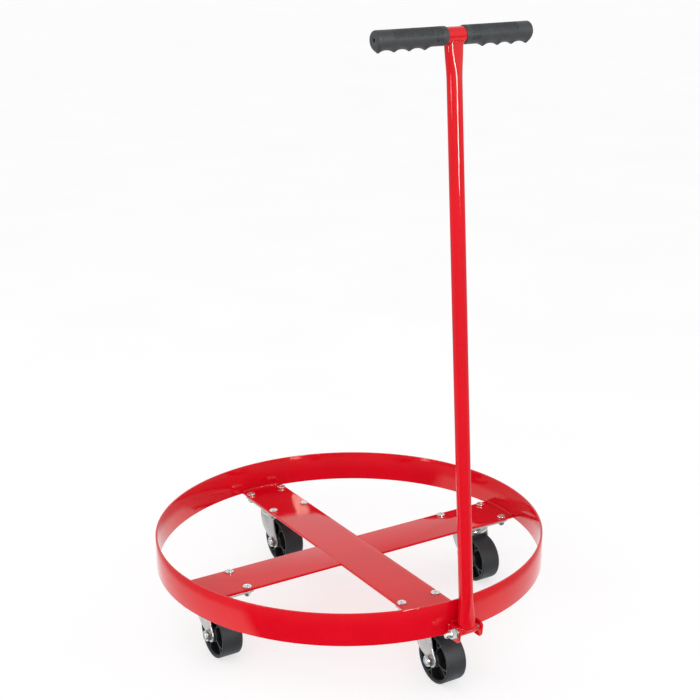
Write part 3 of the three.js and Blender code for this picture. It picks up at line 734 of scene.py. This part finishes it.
# The small hole between a rib's two arms.
hole = arc(POCKET_OUT, split_low, 4) + [(SPLIT_R + ARM_SIDE / math.sin(ARM_SPREAD), 0.0)]
hole = rounded(hole, [1.0, 0, 0, 0, 1.0, 0.8], 5)
PAST_RIM = 30  # how far along the axle the cutters reach, beyond the rim and hub
pockets = []
for k in range(RIBS):
    for outline, angle in ((pocket, (k + 0.5) / RIBS), (hole, k / RIBS)):
        turn = Matrix.Rotation(TAU * angle, 4, "Z")
        pockets.append(moved(plate(outline, WEB_HALF, PAST_RIM, 0.0, 1), turn))
        pockets.append(moved(plate(outline, -PAST_RIM, -WEB_HALF, 0.0, 1), turn))
wheel = carved("castor_wheel", along_x(wheel_body), along_x(joined(*pockets)), crease=30)
# The faces deep inside the rim, which take the darker material: painted shade for the shadow in the
# rim's recess.
painted_shade_faces = [math.hypot(f.center.y, f.center.z) < (RIM_IN - 0.4) * MM
            and abs(f.center.x) < (DEPTH - 1.0) * MM for f in wheel.polygons]

# Mounting screw: pan head with a cross recess, thread and nut below, at the origin.
cross = rounded([(0.8, 0.8), (3.3, 0.6), (3.3, -0.6), (0.8, -0.8), (0.6, -3.3), (-0.6, -3.3),
                 (-0.8, -0.8), (-3.3, -0.6), (-3.3, 0.6), (-0.8, 0.8), (-0.6, 3.3), (0.6, 3.3)],
                0.2, 2)
taper = moved(plate(cross, 0.6, 4.5, 0.0, 1),
              lambda x, y, z: (x * (0.46 + 0.22 * z), y * (0.46 + 0.22 * z), z))
pan = turned([(0, 2.75), (5.7, 2.6), (6.95, 1.7), (6.95, GAP), (0, GAP)],
             [0, 1.2, 0.5, 0.25, 0], 64, 5)
screw_head = carved("screw_head", pan, taper, crease=28)
SCREW_R = 3.0
screw_nut = to_mesh("screw_nut", *joined(
    hexagonal(10.0, NUT_TOP - 5.0, NUT_TOP, SCREW_R + 0.05),
    turned([(0, GAP + 0.2), (SCREW_R, GAP + 0.2), (SCREW_R, NUT_TOP - 4.0), (0, NUT_TOP - 4.0)],
           0, 32),
    thread(SCREW_R, NUT_TOP - 7.5, NUT_TOP - 3.8, 1.0, 0.5, 24, 0.7),
), crease=28)


def middle_of(node):
    """The x and y of a node's middle."""
    lo, hi = box(node)
    return (float(v) for v in ((lo + hi) / 2)[:2])


# How far each axle's hexagons and each wheel stand turned about the axle, in radians.
CASTORS = (("front", 0.10, -1.21), ("back", 0.22, -1.12), ("right", -0.12, -1.07),
           ("left", 0.05, -0.95))
for n, (side, hex_turn, wheel_turn) in enumerate(CASTORS):
    c = f"castor_{side}"
    swivel, roller = f"{c}_swivel", f"{c}_roller"
    cx, cy = middle_of(f"{c}_kingpin")
    here = shift(cx, cy, 0)
    turn = Matrix.Rotation(math.atan2(cy, cx) - math.pi / 2, 4, "Z")
    piece(f"{c}_mount_plate", top_plate, ZINC, "base", [f"{c}_top_plate"],
          here @ turn)
    piece(f"{c}_upper_race", upper_race, BRIGHT, "base", (), here)
    piece(f"{c}_rivet", kingpin, BRIGHT, "base", [f"{c}_kingpin"], here)
    for i, letter in enumerate("abcd"):
        # Screws are driven home at different angles.
        spin = Matrix.Rotation(0.7 + 1.9 * (4 * n + i) % 3.0, 4, "Z")
        there = shift(*middle_of(f"{c}_screw_{letter}"), 0) @ spin
        piece(f"{c}_screw_head_{letter}", screw_head, BRIGHT, "base",
              [f"{c}_screw_{letter}"], there)
        piece(f"{c}_screw_nut_{letter}", screw_nut, BRIGHT, "base", (), there)
    piece(f"{c}_dust_cap", dust_ring, BRIGHT, swivel, [f"{c}_dust_ring"], here)
    piece(f"{c}_race_cup", race_cup, BRIGHT, swivel, (), here)
    piece(f"{c}_fork_sheet", fork, ZINC, swivel, [f"{c}_fork"], here)
    axle = shift(cx, cy - TRAIL, AXLE_Z)
    spin = Matrix.Rotation(hex_turn, 4, "X")
    piece(f"{c}_axle_screw", axle_bolt, BRIGHT, swivel, [f"{c}_axle_bolt"],
          axle @ spin)
    piece(f"{c}_lock_nut", lock_nut, BRIGHT, swivel, [f"{c}_axle_nut"],
          axle @ spin)
    piece(f"{c}_nut_insert", nut_insert, NYLON, swivel, (), axle)
    piece(f"{c}_axle_bush", bush, ZINC, swivel, [f"{c}_bush"], axle)
    tyre = piece(f"{c}_tyre", wheel, WHEEL, roller, [f"{c}_wheel"],
                 axle @ Matrix.Rotation(wheel_turn, 4, "X"))
    # The faces deep in the rim take the darker copy, which paints their shade.
    tyre.data.materials.append(RECESS_SHADE)
    for face, inside in zip(tyre.data.polygons, painted_shade_faces):
        face.material_index = int(inside)

# -------------------------------------------------------------- hinge bracket
br_lo, br_hi = box("hinge_bracket")
WALL_Y = float(br_hi[1])
EAR_OUT = float(br_hi[1] - br_lo[1])
BR_HALF = float(br_hi[0])
BR_LOW, BR_TOP = float(br_lo[2]), float(br_hi[2])
br_in = 1.4  # inner radius of the bends
br_fold = BR_HALF - SHEET - br_in
br_neutral = br_in + SHEET / 2
flat_start = br_fold + br_neutral * math.pi / 2
reach = EAR_OUT - SHEET / 2 - br_neutral  # straight part of an ear
ear = [(flat_start + reach - 6.2, BR_LOW), (flat_start + reach - 2.2, BR_LOW + 4.5),
       (flat_start + reach, BR_TOP - 4.0), (flat_start + reach - 5.0, BR_TOP)]
outline = rounded(ear + [(-x, y) for x, y in ear[::-1]],
                  [1.8, 1.6, 2.2, 2.0, 2.0, 2.2, 1.6, 1.8], 5)
br_flat = plate(outline, -SHEET / 2, SHEET / 2, 0.6)
bracket = bent(br_flat, br_fold, br_in, SHEET)
# The blank's y is the bracket's height, and its legs hang towards the handle.
bracket = moved(bracket, lambda x, y, z: (x, WALL_Y - SHEET / 2 + z, y))
piece("bracket_channel", to_mesh("bracket_channel", *bracket, crease=28), RED,
      "base", ["hinge_bracket"])
for side, name in SIDES:
    x, y = side * (BR_HALF - 0.2), WALL_Y - 0.6
    weld(f"weld_bracket_{name}", line((x, y, BR_LOW + 1.2), (x, y, BR_TOP - 1.6)), 2.1, 51 + side)
weld("weld_bracket_top", line((-BR_HALF + 4, WALL_Y - 0.5, BR_TOP - 0.2),
                              (BR_HALF - 4, WALL_Y - 0.5, BR_TOP - 0.2)), 1.6, 57)

nut_lo, nut_hi = box("hinge_nut_washer")
HINGE_Y, HINGE_Z = float((nut_lo[1] + nut_hi[1]) / 2), float((nut_lo[2] + nut_hi[2]) / 2)
hinge_place = shift(0, HINGE_Y, HINGE_Z)
bolt_lo, bolt_hi = box("hinge_bolt")
FACE = BR_HALF + GAP
TIP = float(bolt_lo[0])
HEAD_R, HEAD_END = float(bolt_hi[2] - bolt_lo[2]) / 2, float(bolt_hi[0])
hinge_bolt = to_mesh("hinge_bolt_m8", *along_x(joined(
    turned([(0, HEAD_END), (5.0, HEAD_END), (HEAD_R, FACE + 0.8), (HEAD_R, FACE), (0, FACE)],
           [0, 1.6, 0.8, 0.2, 0], 64),
    turned([(0, FACE + 0.2), (HINGE_BOLT_R, FACE + 0.2), (HINGE_BOLT_R, -BR_HALF),
            (0, -BR_HALF)], 0, 40),
    thread(HINGE_BOLT_R, TIP, -BR_HALF + 0.2, 1.25, 0.65, 40, 1.2),
)), crease=28)
piece("hinge_bolt_m8", hinge_bolt, BRIGHT, "base", ["hinge_bolt"],
      hinge_place @ Matrix.Rotation(0.3, 4, "X"))
NUT_END = float(nut_lo[0])
hinge_nut = to_mesh("hinge_nut", *along_x(joined(
    hexagonal(HEX_AF, NUT_END + 1.4, -FACE - 1.5, 4.2),
    turned([(4.5, NUT_END + 1.8), (5.6, NUT_END + 1.8), (5.3, NUT_END + 0.5), (4.9, NUT_END),
            (4.5, NUT_END + 0.1)], [0, 0, 0.5, 0.2, 0.1], 64),
)), crease=28)
piece("hinge_nut", hinge_nut, BRIGHT, "base", ["hinge_nut_washer"],
      hinge_place @ Matrix.Rotation(0.12, 4, "X"))
hinge_washer = to_mesh("hinge_washer", *along_x(turned(
    [(4.3, -FACE), (8.0, -FACE), (8.0, -FACE - 1.55), (4.3, -FACE - 1.55)], 0.3, 64)))
piece("hinge_washer", hinge_washer, WASHER_ZINC, "base", (), hinge_place)

# --------------------------------------------------------------------- handle
sleeve_lo, sleeve_hi = box("handle_sleeve")
SLEEVE_X = float(sleeve_lo[0] + sleeve_hi[0]) / 2
SLEEVE_HALF = float(sleeve_hi[0] - sleeve_lo[0]) / 2
handle_place = shift(SLEEVE_X, HINGE_Y, HINGE_Z) @ Matrix.Rotation(-HANDLE_LEAN, 4, "X")
sleeve = to_mesh("hinge_sleeve", *along_x(turned(
    [(HINGE_BOLT_R + GAP, -SLEEVE_HALF), (SLEEVE_R, -SLEEVE_HALF), (SLEEVE_R, SLEEVE_HALF),
     (HINGE_BOLT_R + GAP, SLEEVE_HALF)], 0.5, 72)))
piece("hinge_sleeve", sleeve, RED, "handle", ["handle_sleeve"], handle_place)

# The stem, from the sleeve's axis at 0 to the cross tube's at L. Each station has a height,
# half the width, half the depth, and a squareness, which is 2 where the section is round.
L = HANDLE_LENGTH
STEM_LOW, STEM_HIGH = 3.0, L - 4.0
STATIONS = [
    (STEM_LOW, 13.4, 6.9, 3.4), (14.0, 13.4, 7.0, 3.2), (22.0, 12.7, 7.6, 2.8),
    (33.0, 11.5, 9.0, 2.3),
    (46.0, STEM_R, STEM_R, 2.0), (80.0, STEM_R, STEM_R, 2.0), (L - 80.0, STEM_R, STEM_R, 2.0),
    (L - 54.0, STEM_R, STEM_R, 2.0), (L - 40.0, 10.9, 9.6, 2.2), (L - 26.0, 11.8, 8.8, 2.7),
    (L - 15.0, 12.3, 8.4, 3.1), (STEM_HIGH, 12.3, 8.3, 3.1),
]


def section(z):
    """Half width, half depth and squareness of the stem at a height."""
    for a, b in zip(STATIONS, STATIONS[1:]):
        if z <= b[0]:
            t = (z - a[0]) / (b[0] - a[0])
            return [a[k] + (b[k] - a[k]) * t for k in (1, 2, 3)]
    return STATIONS[-1][1:]


def squarish(hx, hy, power, sides):
    """Points of an ellipse that a power above 2 makes squarer."""
    points = []
    for c, s in round_the_clock(sides):
        r = (abs(c) ** power + abs(s) ** power) ** (-1 / power)
        points.append((hx * r * c, hy * r * s))
    return points


# Close rings in the squeezed ends, and far ones along the straight run.
heights = sorted(set([STEM_LOW + 1.5 * k for k in range(37)] + [60 + 35 * k for k in range(20)]
                     + [L - 66 + 1.5 * k for k in range(42)]))
stem_rings = []
for z in heights:
    # A short average over the height rounds the change between the straight runs.
    near = [section(min(max(z + d, STEM_LOW), STEM_HIGH)) for d in (-5, -2.5, 0, 2.5, 5)]
    hx, hy, power = (sum(v[k] for v in near) / len(near) for k in range(3))
    stem_rings.append([(x, y, z) for x, y in squarish(hx, hy, power, 72)])
piece("stem_tube", to_mesh("stem_tube", *loft(stem_rings), crease=40), RED,
      "handle", ["handle_stem"], handle_place)


def saddle(hx, hy, radius, sign, base, power, lift):
    """The line where the squeezed stem meets a tube that lies along X."""
    points = []
    for x, y in squarish(hx, hy, power, 150):
        up = math.sqrt(max(radius * radius - min(abs(y), radius * 0.985) ** 2, 0))
        points.append((x, y * 1.01, base + sign * (up + lift)))
    return points


weld("weld_sleeve", saddle(13.4, 6.9, SLEEVE_R, 1, 0, 3.2, 0.2), 1.7, 61, "handle",
     handle_place, closed=True)
weld("weld_cross_tube", saddle(12.3, 8.4, TBAR_R, -1, L, 3.1, 0.1), 1.7, 63, "handle",
     handle_place, closed=True)

TBAR_HALF, TBAR_IN = 115.5, TBAR_R - 2
top_place = handle_place @ shift(0, 0, L)
cross_tube = to_mesh("cross_tube", *along_x(turned(
    [(TBAR_IN, -TBAR_HALF), (TBAR_R, -TBAR_HALF), (TBAR_R, TBAR_HALF), (TBAR_IN, TBAR_HALF)],
    0.4, 72)))
piece("cross_tube", cross_tube, RED, "handle", ["handle_cross_tube"], top_place)


# Grip, drawn for the right side: x runs from the middle of the handle, angle from the top.
def smoothstep(a, b, t):
    """0 at a, 1 at b, and a smooth change between; b may be the lower one."""
    t = min(max((t - a) / (b - a), 0.0), 1.0)
    return t * t * (3 - 2 * t)


VALLEY_DEPTH = 0.5


def scallop(x):
    """How far the grip stands below the round sleeve, at a place along it: RIDGE_DEPTH at the
    ridges between the fingers and VALLEY_DEPTH at each finger's place."""
    first, last = RIDGES[0], RIDGES[-1]
    if x < first:
        return RIDGE_DEPTH * max(0.0, 1 - (first - x) / 10.5) ** 1.7
    if x > last:
        return RIDGE_DEPTH * max(0.0, 1 - (x - last) / 5.2) ** 1.3
    for a, b in zip(RIDGES, RIDGES[1:]):
        if x <= b:
            t = abs(2 * (x - a) / (b - a) - 1)
            return VALLEY_DEPTH + (RIDGE_DEPTH - VALLEY_DEPTH) * t ** 2.3


INNER_CORNER, OUTER_CORNER = 1.8, 2.8


def grip_radius(x):
    """The sleeve's radius, rounded at both of its ends."""
    if x < GRIP_INNER + INNER_CORNER:
        t = (x - GRIP_INNER) / INNER_CORNER
        return GRIP_R - INNER_CORNER * (1 - math.sqrt(max(0, 1 - (1 - t) ** 2)))
    if x > GRIP_OUTER - OUTER_CORNER:
        t = (x - GRIP_OUTER + OUTER_CORNER) / OUTER_CORNER
        return GRIP_R - OUTER_CORNER * (1 - math.sqrt(max(0, 1 - t * t)))
    return GRIP_R


RIB_PITCH = 3.12
GROOVE_DEPTH = 1.1


def rib(x, angle):
    """Height of the fine ribs: a long field over the top, and a small patch low at the inside."""
    wave = 0.5 - 0.5 * math.cos(TAU * x / RIB_PITCH)
    begin = smoothstep(GRIP_INNER + 7.5, GRIP_INNER + 8.3, x)
    over_top = smoothstep(84, 80, abs(angle)) * begin
    over_top *= smoothstep(GRIP_OUTER - 23.0, GRIP_OUTER - 23.8, x)
    patch = smoothstep(99, 102, abs(angle)) * smoothstep(128, 125, abs(angle))
    patch *= begin * smoothstep(GRIP_INNER + 21.0, GRIP_INNER + 20.2, x)
    return -GROOVE_DEPTH * wave ** 1.3 * max(over_top, patch)


GRIP_SIDES = 120


def grip_circle(r, x):
    """A round ring of the grip, which starts at the top."""
    return [(x, r * s, r * c) for c, s in round_the_clock(GRIP_SIDES)]


stations = [GRIP_INNER + 0.2 * k for k in range(10)]
stations += list(np.arange(GRIP_INNER + 2.2, GRIP_OUTER - 2.9, 0.4))
stations += [GRIP_OUTER - OUTER_CORNER + 0.28 * k for k in range(10)] + [GRIP_OUTER]
# The bore comes first, then the outside, and then the closed end with a small blind hole.
END_WALL = GRIP_OUTER - 3.8
grip_rings = [grip_circle(r, x) for r, x in (
    (0.0, END_WALL), (TBAR_R + 0.2, END_WALL), (TBAR_R + 0.2, GRIP_INNER + 0.6),
    (TBAR_R + 0.6, GRIP_INNER))]
for x in stations:
    ring = []
    for k, (c, s) in enumerate(round_the_clock(GRIP_SIDES)):
        angle = 360.0 * k / GRIP_SIDES
        if angle > 180:
            angle -= 360
        r = grip_radius(x) + rib(x, angle)
        ring.append((x, r * s, r * c - max(0.0, -c) ** 3.2 * scallop(x)))
    grip_rings.append(ring)
grip_rings += [grip_circle(r, x) for r, x in (
    (7.0, GRIP_OUTER), (3.1, GRIP_OUTER), (2.7, GRIP_OUTER - 0.4), (2.5, GRIP_OUTER - 3.2),
    (0.0, GRIP_OUTER - 3.4))]
verts, faces = loft(grip_rings)
grip_part = verts, [f for f in faces if len(f) == 4]  # without the caps of the two end points
for side, name in SIDES:
    part = moved(grip_part, lambda x, y, z: (side * x, y, z))
    piece(f"grip_sleeve_{name}", to_mesh(f"grip_sleeve_{name}", *part, crease=50), GRIP,
          "handle", [f"grip_{name}"], top_place)

# ---------------------------------------------------------------------- stage
FLOOR = float(AXLE[0][2])
FLOOR_HALF = 6e4
paper = Nodes("floor_paper")
paper.finish(
    paper.mix(paper.remap(paper.noise(3.0, 3.0), 0, 1), (0.38, 0.38, 0.38), (0.36, 0.36, 0.36)),
    paper.remap(paper.noise(40.0), 0.75, 0.85), Specular_IOR_Level=0.1,
    Emission_Color=(1, 1, 1, 1), Emission_Strength=0.66)
floor_mesh = to_mesh("floor", [(-FLOOR_HALF, -FLOOR_HALF, FLOOR), (FLOOR_HALF, -FLOOR_HALF, FLOOR),
                               (FLOOR_HALF, FLOOR_HALF, FLOOR), (-FLOOR_HALF, FLOOR_HALF, FLOOR)],
                     [(0, 1, 2, 3)])
floor_mesh.materials.append(paper.material)
floor = bpy.data.objects.new("floor", floor_mesh)
bpy.context.scene.collection.objects.link(floor)
floor.visible_glossy = False

# The world is white at the horizon and above it, and dimmer overhead. The floor covers what
# lies below the horizon, apart from a sliver past its far edge, but is hidden from glossy
# rays. So gloss sees white straight down, a dim band between there and the horizon, and dark
# on the side where the photographer stands. Heights are the sine of the angle above the
# horizon.
DARK_SIDE = math.radians(-27.0)
world = bpy.data.worlds.new("studio")
world.use_nodes = True
bpy.context.scene.world = world
tree = world.node_tree
background = tree.nodes["Background"]


def world_node(kind, inputs=(), **settings):
    return add_node(tree, kind, inputs, **settings)


def ramp(value, start, stop, low=0.0, high=1.0):
    """Runs from low, where value is start, to high, where it is stop."""
    return world_node("ShaderNodeMapRange", {
        "Value": value, "From Min": start, "From Max": stop, "To Min": low, "To Max": high,
    }).outputs[0]


def combine(a, b, operation):
    return world_node("ShaderNodeMath", {0: a, 1: b}, operation=operation).outputs[0]


direction = world_node("ShaderNodeTexCoord").outputs["Generated"]
height = world_node("ShaderNodeSeparateXYZ", {0: direction}).outputs[2]
level_dir = world_node("ShaderNodeVectorMath", {0: direction, 1: (1, 1, 0)}, operation="MULTIPLY")
level_dir = world_node("ShaderNodeVectorMath", {0: level_dir.outputs[0]}, operation="NORMALIZE")
towards = world_node("ShaderNodeVectorMath", {
    0: level_dir.outputs[0], 1: (math.sin(DARK_SIDE), -math.cos(DARK_SIDE), 0),
}, operation="DOT_PRODUCT").outputs["Value"]
dark_side = combine(ramp(towards, 0.36, 0.48), ramp(height, -0.005, -0.04), "MULTIPLY")
# Elsewhere the white below gives way to the dim band 24 to 21 degrees down, and comes back
# in the last 5 degrees.
elsewhere = combine(ramp(height, -0.41, -0.36, 1.0, 0.40), ramp(height, -0.09, -0.01, 0.40, 1.0),
                    "MAXIMUM")
near_side = ramp(height, -0.42, -0.10, 0.06, 0.45)
below = ramp(dark_side, 0.0, 1.0, elsewhere, near_side)
overhead = ramp(height, 0.52, 0.95, 1.0, 0.5)
tree.links.new(combine(overhead, below, "MULTIPLY"), background.inputs["Strength"])
background.inputs["Color"].default_value = (1.0, 1.0, 1.0, 1)


LIT_POINT = Vector((0, -0.15, 0.35))


def outward(azimuth, elevation):
    """The direction at angles in degrees: azimuth from -Y towards +X, elevation upwards."""
    a, e = math.radians(azimuth), math.radians(elevation)
    return Vector((math.sin(a) * math.cos(e), -math.cos(a) * math.cos(e), math.sin(e)))


def softbox(name, azimuth, elevation, distance, width, height, power, glossy=True, diffuse=True):
    """An area light that faces the object from a direction, in metres and watts."""
    back = outward(azimuth, elevation)
    lamp = bpy.data.lights.new(name, "AREA")
    lamp.shape, lamp.size, lamp.size_y, lamp.energy = "RECTANGLE", width, height, power
    o = bpy.data.objects.new(name, lamp)
    bpy.context.scene.collection.objects.link(o)
    o.location = LIT_POINT + back * distance
    o.rotation_euler = (-back).to_track_quat("-Z", "Y").to_euler()
    o.visible_glossy = glossy
    o.visible_diffuse = diffuse


softbox("softbox_top", -60, 62, 2.6, 2.2, 2.2, 12, glossy=False)
softbox("fill_front", -31, 26, 5.0, 4.3, 3.0, 48, glossy=False)
# Two tall strips that draw the bright lines down the stem.
softbox("strip_left", -86, 18.5, 3.0, 0.28, 1.8, 26, diffuse=False)
softbox("strip_right", 2, 17.4, 3.0, 0.42, 1.8, 95, diffuse=False)

# ---------------------------------------------------------------------- camera
# It looks at the middle of the ring's top from the front left, then turns a little so
# that the handle is in view.
CAM_AZIMUTH, CAM_ELEVATION, CAM_DISTANCE = -31.0, 24.37, 2.2912
CAM_PAN, CAM_TILT, CAM_ROLL = math.radians(-0.12), math.radians(6.89), math.radians(0.64)
back = outward(CAM_AZIMUTH, CAM_ELEVATION)
target = Vector((0, 0, TOP * MM))
forward = -back
right = forward.cross(Vector((0, 0, 1))).normalized()
up = right.cross(forward)
pan = Matrix.Rotation(CAM_PAN, 3, up)
forward, right = pan @ forward, pan @ right
tilt = Matrix.Rotation(CAM_TILT, 3, right)
forward, up = tilt @ forward, tilt @ up
roll = Matrix.Rotation(CAM_ROLL, 3, forward)
right, up = roll @ right, roll @ up
camera_data = bpy.data.cameras.new("camera")
camera_data.lens = 73.53
camera_data.sensor_width = 36.0
camera_data.clip_end = 200.0
camera = bpy.data.objects.new("camera", camera_data)
bpy.context.scene.collection.objects.link(camera)
axes = Matrix((right, up, -forward)).transposed()
camera.matrix_world = Matrix.Translation(target + back * CAM_DISTANCE) @ axes.to_4x4()
bpy.context.scene.camera = camera
bpy.context.scene.view_settings.view_transform = "Standard"
